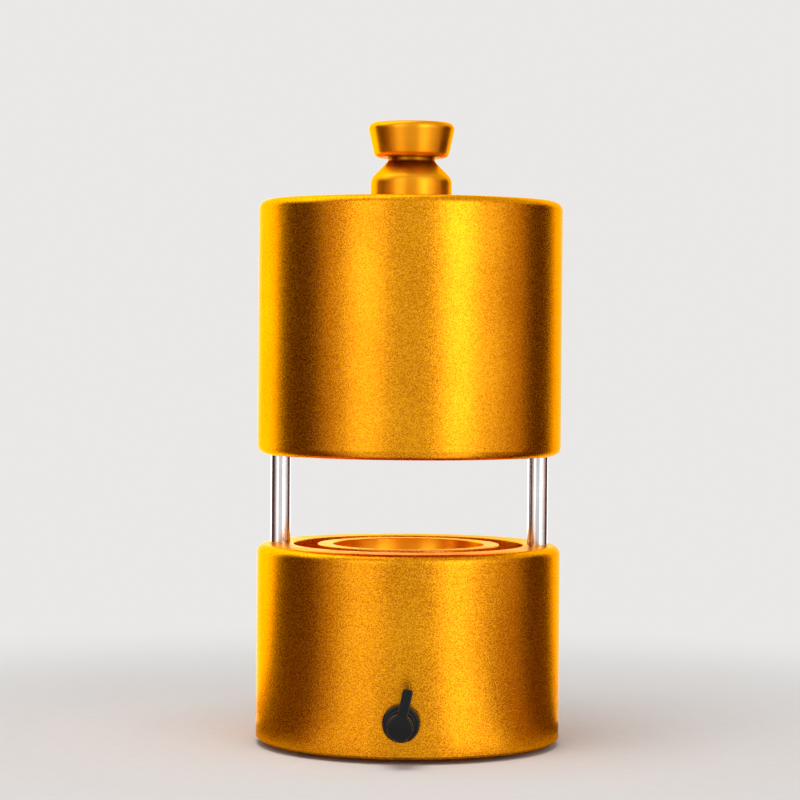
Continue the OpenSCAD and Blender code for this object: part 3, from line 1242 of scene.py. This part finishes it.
    def at_lever_root(self, edge: BMEdge) -> bool:
        """Says whether an edge is the inner corner where the lever leaves the hub's side.

        Args:
            edge: An edge of the handle, before it is turned to its place.

        Returns:
            Whether it is.
        """
        near = all(abs(end.co.xy.length - self.hub_r) < self.lip for end in edge.verts)
        above = edge_span(edge)[0] > self.hub_r / 2
        inner = edge.is_manifold and edge.calc_face_angle_signed(0.0) < HOLLOW
        return near and above and inner

    def dress(self, body: Object, handle: Object) -> None:
        """Gives both mouldings their black plastic, and the small pieces their finishes.

        Args:
            body: The modelled body.
            handle: The modelled handle.
        """
        for piece in (body, handle):
            piece.data.materials.append(self.palette.plastic)
            smooth(piece, self.smooth_angle)
        settle(body, Body.LOWER, Slot.BLACK_PLASTIC, "tap_body")
        settle(handle, Body.TAP, Slot.BLACK_PLASTIC, "tap_handle")
        dress_node("tap_washer", self.palette.rubber)
        dress_node("tap_seals", self.palette.rubber)
        dress_node("tap_clip", self.palette.screw_steel)


@dataclass
class Base:
    """The base plate with its seal and screws, and the foot ring that the mold stands on."""

    palette: Palette
    foot_r: float = 44 * MM
    foot_w: float = 8 * MM
    edge_r: float = 0.6 * MM
    rib_count: int = 4
    groove_w: float = 0.5 * MM
    groove_depth: float = 0.6 * MM
    steps: int = 128

    def build(self) -> Object:
        """Models the foot ring by turning it, with gripping grooves in its underside.

        Returns:
            The foot ring.
        """
        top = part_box("foot_ring")[1].z
        inner_r = self.foot_r - self.foot_w
        outline = [(self.foot_r, top), (inner_r, top)]
        outline += arc((inner_r + self.edge_r, self.edge_r), self.edge_r, 180, 270, LIP_STEPS)
        rib = (self.foot_w - 2 * self.edge_r) / self.rib_count
        for groove in range(1, self.rib_count):
            middle = inner_r + self.edge_r + groove * rib
            outline += [
                (middle - self.groove_w, 0),
                (middle - self.groove_w / 2, self.groove_depth),
                (middle + self.groove_w / 2, self.groove_depth),
                (middle + self.groove_w, 0),
            ]
        outline += arc((self.foot_r - self.edge_r, self.edge_r), self.edge_r, 270, 360, LIP_STEPS)
        outline += [(self.foot_r, top)]
        return turned("ribbed_foot", outline, self.steps)

    def dress(self, foot: Object) -> None:
        """Gives the foot ring its rubber and the plate, its screws and its seal their finishes.

        Args:
            foot: The modelled foot ring.
        """
        foot.data.materials.append(self.palette.rubber)
        smooth(foot)
        settle(foot, Body.LOWER, Slot.BLACK_RUBBER, "foot_ring")
        dress_node("base_plate", self.palette.face_gold)
        dress_node("base_screws", self.palette.screw_steel)
        dress_node("base_seal", self.palette.rubber)


# Studio and camera


def round_table(azimuth: float, distance: float, height: float) -> Vector:
    """Gives a place round the mold.

    Args:
        azimuth: Degrees from the tap's side towards +X.
        distance: Distance from the mold's axis in metres.
        height: Height above the standing surface in metres.

    Returns:
        The place.
    """
    turn = math.radians(azimuth)
    return Vector((distance * math.sin(turn), -distance * math.cos(turn), height))


def towards_mold(where: Vector, aim: float, front: str) -> tuple:
    """Gives the turn of a lamp or board that faces the mold.

    Args:
        where: Its place.
        aim: The height on the mold's axis that it faces.
        front: The axis of its own that points there.

    Returns:
        Euler angles in radians.
    """
    return tuple((Vector((0, 0, aim)) - where).to_track_quat(front, "Y").to_euler())


@dataclass(frozen=True)
class Softbox:
    """A soft lamp that stands or hangs round the mold."""

    name: str
    azimuth: float
    distance: float
    height: float
    width: float
    tall: float
    radiance: float
    in_gloss: bool = True
    aim: float = 0.12

    def build(self) -> None:
        """Adds the lamp, turned towards the mold."""
        data = bpy.data.lights.new(self.name, "AREA")
        data.shape = "RECTANGLE"
        data.size = self.width
        data.size_y = self.tall
        data.energy = self.radiance * math.pi * self.width * self.tall
        lamp = bpy.data.objects.new(self.name, data)
        lamp.location = round_table(self.azimuth, self.distance, self.height)
        lamp.rotation_euler = towards_mold(lamp.location, self.aim, "-Z")
        lamp.visible_camera = False
        lamp.visible_glossy = self.in_gloss
        bpy.context.scene.collection.objects.link(lamp)


def show_in_gloss_only(board: Object, colour: Colour, glow: float, light: Colour = WHITE) -> None:
    """Gives a board its colour and glow, and lets only glossy surfaces see it.

    Args:
        board: The board.
        colour: Its own colour.
        glow: Strength of its glow.
        light: Colour of its glow.
    """
    shader = Shader(board.name)
    shader.set(Base_Color=(*colour, 1), Roughness=1.0, Emission_Color=(*light, 1), Emission_Strength=glow)
    board.data.materials.append(shader.material)
    board.visible_camera = False
    board.visible_diffuse = False
    board.visible_transmission = False
    board.visible_shadow = False


@dataclass(frozen=True)
class OverheadBoard:
    """A white board over the mold that shows as a bright line on its upper edges."""

    name: str = "top_board"
    aside: float = -0.5
    behind: float = 0.25
    height: float = 1.15
    width: float = 1.2
    depth: float = 1.2
    aim: float = 0.12
    glow: float = 1.5

    def build(self) -> None:
        """Hangs the board, turned towards the mold."""
        where = Vector((self.aside, self.behind, self.height))
        board = sheet(self.name, self.width, self.depth)
        place(board, where, towards_mold(where, self.aim, "Z"))
        show_in_gloss_only(board, WHITE, self.glow)


@dataclass(frozen=True)
class SideBoard:
    """A board beside the mold, with a foot along the floor, that shows as an upright band in the metal."""

    name: str
    azimuth: float
    spread: float
    glow: float = 0.0
    light: Colour = WHITE
    colour: Colour = (0.085, 0.014, 0.009)
    distance: float = 1.6
    tall: float = 1.6
    near: float = 0.075
    near_width: float = 0.20
    lift: float = 1 * MM

    def build(self) -> None:
        """Lays the board's foot on the floor and folds its back up."""
        reach = self.distance - self.near
        width = 2 * self.distance * math.tan(math.radians(self.spread))
        board = sheet(self.name, width, reach)
        place(board, Vector((0, -self.near - reach / 2, self.lift)))
        with editing(board):
            select(board, Element.EDGE, lambda edge: edge_span(edge)[0] > -self.near - NEAR)
            bpy.ops.transform.resize(value=(self.near_width / width, 1, 1))
            select(board, Element.EDGE, lambda edge: edge_span(edge)[1] < NEAR - self.distance)
            bpy.ops.mesh.extrude_edges_move(TRANSFORM_OT_translate={"value": (0, 0, self.tall)})
        place(board, Vector(), (0, 0, math.radians(self.azimuth)))
        show_in_gloss_only(board, self.colour, self.glow, self.light)


@dataclass(frozen=True)
class FarBoard(SideBoard):
    """A side board whose foot stays away from the mold, over the feet of the others."""

    near: float = 0.7
    near_width: float = 0.06
    lift: float = 1.5 * MM


@dataclass(frozen=True)
class FootBoard(SideBoard):
    """A side board that is nearly all foot, over the feet of the others, for the lower half's walls."""

    distance: float = 0.7
    tall: float = 1 * MM
    near_width: float = 0.03
    lift: float = 1.5 * MM


@dataclass
class Studio:
    """A pale floor that runs into a pale background, soft lamps, and boards that shape the gloss."""

    pale: Colour = (0.82, 0.81, 0.80)
    floor_colour: Colour = (0.80, 0.79, 0.78)
    ambient: float = 0.45
    floor_size: float = 40.0
    floor_near: float = 0.12
    floor_far: float = 0.48
    speckle_scale: float = 180.0
    speckle_tone: float = 0.97
    speckle_depth: float = 0.05 * MM
    lamps: tuple[Softbox, ...] = (
        Softbox("key_softbox", azimuth=38, distance=1.35, height=0.45, width=0.60, tall=1.0, radiance=1.45),
        Softbox("fill_softbox", azimuth=-31, distance=1.35, height=0.45, width=0.62, tall=1.0, radiance=1.06),
        Softbox(
            "top_softbox",
            azimuth=-20,
            distance=0.35,
            height=1.5,
            width=0.9,
            tall=0.9,
            radiance=4.8,
            in_gloss=False,
        ),
    )
    boards: tuple[OverheadBoard | SideBoard, ...] = (
        OverheadBoard(),
        SideBoard("left_dark_board", azimuth=-87, spread=24, tall=0.8),
        SideBoard("right_dark_board", azimuth=114, spread=20, tall=0.8),
        SideBoard("left_rim_board", azimuth=-148, spread=30, glow=2.2, near_width=0.12),
        SideBoard("right_rim_board", azimuth=160, spread=22, glow=1.7, near_width=0.12),
        SideBoard("key_board", azimuth=38, spread=12, glow=1.5, near_width=0.04, lift=2 * MM),
        SideBoard("fill_board", azimuth=-31, spread=12, glow=0.96, near_width=0.04, lift=2 * MM),
        FarBoard("key_wing_board", azimuth=62, spread=11, glow=1.15, near_width=0.03),
        FarBoard("right_shade_board", azimuth=85, spread=10, glow=0.62, light=(1, 0.70, 0.55)),
        FarBoard("left_shade_board", azimuth=-58, spread=9, glow=0.62, light=(1, 0.75, 0.58)),
        FootBoard("right_foot_board", azimuth=74, spread=13, glow=0.30, light=(1, 0.60, 0.42)),
        FootBoard(
            "left_foot_board", azimuth=-52, spread=6, glow=0.38, light=(1, 0.66, 0.48), near_width=0.015
        ),
    )

    def build(self) -> None:
        """Builds the floor, world, lamps and boards."""
        self.floor()
        self.world()
        for piece in (*self.lamps, *self.boards):
            piece.build()
        LOG.info("studio: %d lamps, %d boards", len(self.lamps), len(self.boards))

    def floor(self) -> None:
        """Lays the floor, whose far part has the background's own colour."""
        floor = place(sheet("floor", self.floor_size, self.floor_size), Vector())
        shader = Shader("floor_paper")
        speckle = shader.noise(shader.place, self.speckle_scale, detail=4.0)
        soft = tuple(self.speckle_tone * part for part in self.floor_colour)
        shader.set(
            Base_Color=shader.blend(speckle, soft, self.floor_colour),
            Roughness=1.0,
            Specular_IOR_Level=0.0,
            Normal=shader.bump(speckle, self.speckle_depth),
        )
        reach = shader.node("ShaderNodeVectorMath", {"Vector": shader.place}, operation="LENGTH")
        span = {"Value": reach.outputs["Value"], "From Min": self.floor_near, "From Max": self.floor_far}
        fade = shader.node("ShaderNodeMapRange", span, interpolation_type="SMOOTHERSTEP").outputs["Result"]
        glow = shader.node("ShaderNodeEmission", {"Color": (*self.pale, 1), "Strength": 1.0})
        mix = shader.mixed(fade, shader.surface.outputs["BSDF"], glow.outputs["Emission"])
        shader.feed(shader.tree.nodes["Material Output"].inputs["Surface"], mix)
        floor.data.materials.append(shader.material)

    def world(self) -> None:
        """Lights the world evenly, and shows the pale background to the camera and in gloss."""
        world = bpy.data.worlds.new("studio")
        world.use_nodes = True
        bpy.context.scene.world = world
        sky = Tree(world.node_tree)
        light = sky.tree.nodes["Background"]
        sky.feed(light.inputs["Color"], (*self.pale, 1))
        sky.feed(light.inputs["Strength"], self.ambient)
        shown = sky.node("ShaderNodeBackground", {"Color": (*self.pale, 1), "Strength": 1.0})
        path = sky.node("ShaderNodeLightPath")
        either = path.outputs["Is Camera Ray"]
        for ray in ("Is Glossy Ray", "Is Transmission Ray"):
            larger = sky.node("ShaderNodeMath", operation="MAXIMUM")
            sky.fill(larger, either, path.outputs[ray])
            either = larger.outputs["Value"]
        mix = sky.mixed(either, light.outputs["Background"], shown.outputs["Background"])
        sky.feed(sky.tree.nodes["World Output"].inputs["Surface"], mix)


@dataclass
class PhotoCamera:
    """The camera at the photograph's viewing angle."""

    lens: float = 123.8
    sensor: float = 36.0
    clip_start: float = 0.01
    distance: float = 1.090
    eye: float = 0.1605
    side: float = 2.1
    pan: float = 0.20
    pitch: float = -1.29
    roll: float = 0.45

    def build(self) -> None:
        """Adds the camera and makes it the scene's own."""
        data = bpy.data.cameras.new("photo_camera")
        data.lens = self.lens
        data.sensor_width = self.sensor
        data.clip_start = self.clip_start
        camera = bpy.data.objects.new("photo_camera", data)
        where = Matrix.Translation(round_table(self.side, self.distance, self.eye))
        heading = rotation(self.side + self.pan, "Z")
        tilt = rotation(90 + self.pitch, "X")
        camera.matrix_world = where @ heading @ tilt @ rotation(self.roll, "Z")
        bpy.context.scene.collection.objects.link(camera)
        bpy.context.scene.camera = camera
        LOG.info("camera: %.1f mm lens at %.2f m", self.lens, self.distance)


def main() -> None:
    """Builds and dresses every sub-assembly, then the studio and the camera."""
    logging.basicConfig(level=logging.INFO, format="%(name)s: %(message)s")
    palette = Palette()
    for piece in (UpperHalf(palette), LowerHalf(palette), Knob(palette)):
        piece.dress(piece.build())
    Guides(palette).dress()
    tap = Tap(palette)
    tap.dress(tap.build_body(), tap.build_handle())
    base = Base(palette)
    base.dress(base.build())
    Studio().build()
    PhotoCamera().build()
    bpy.context.scene.view_settings.view_transform = "Standard"


if __name__ == "__main__":
    main()
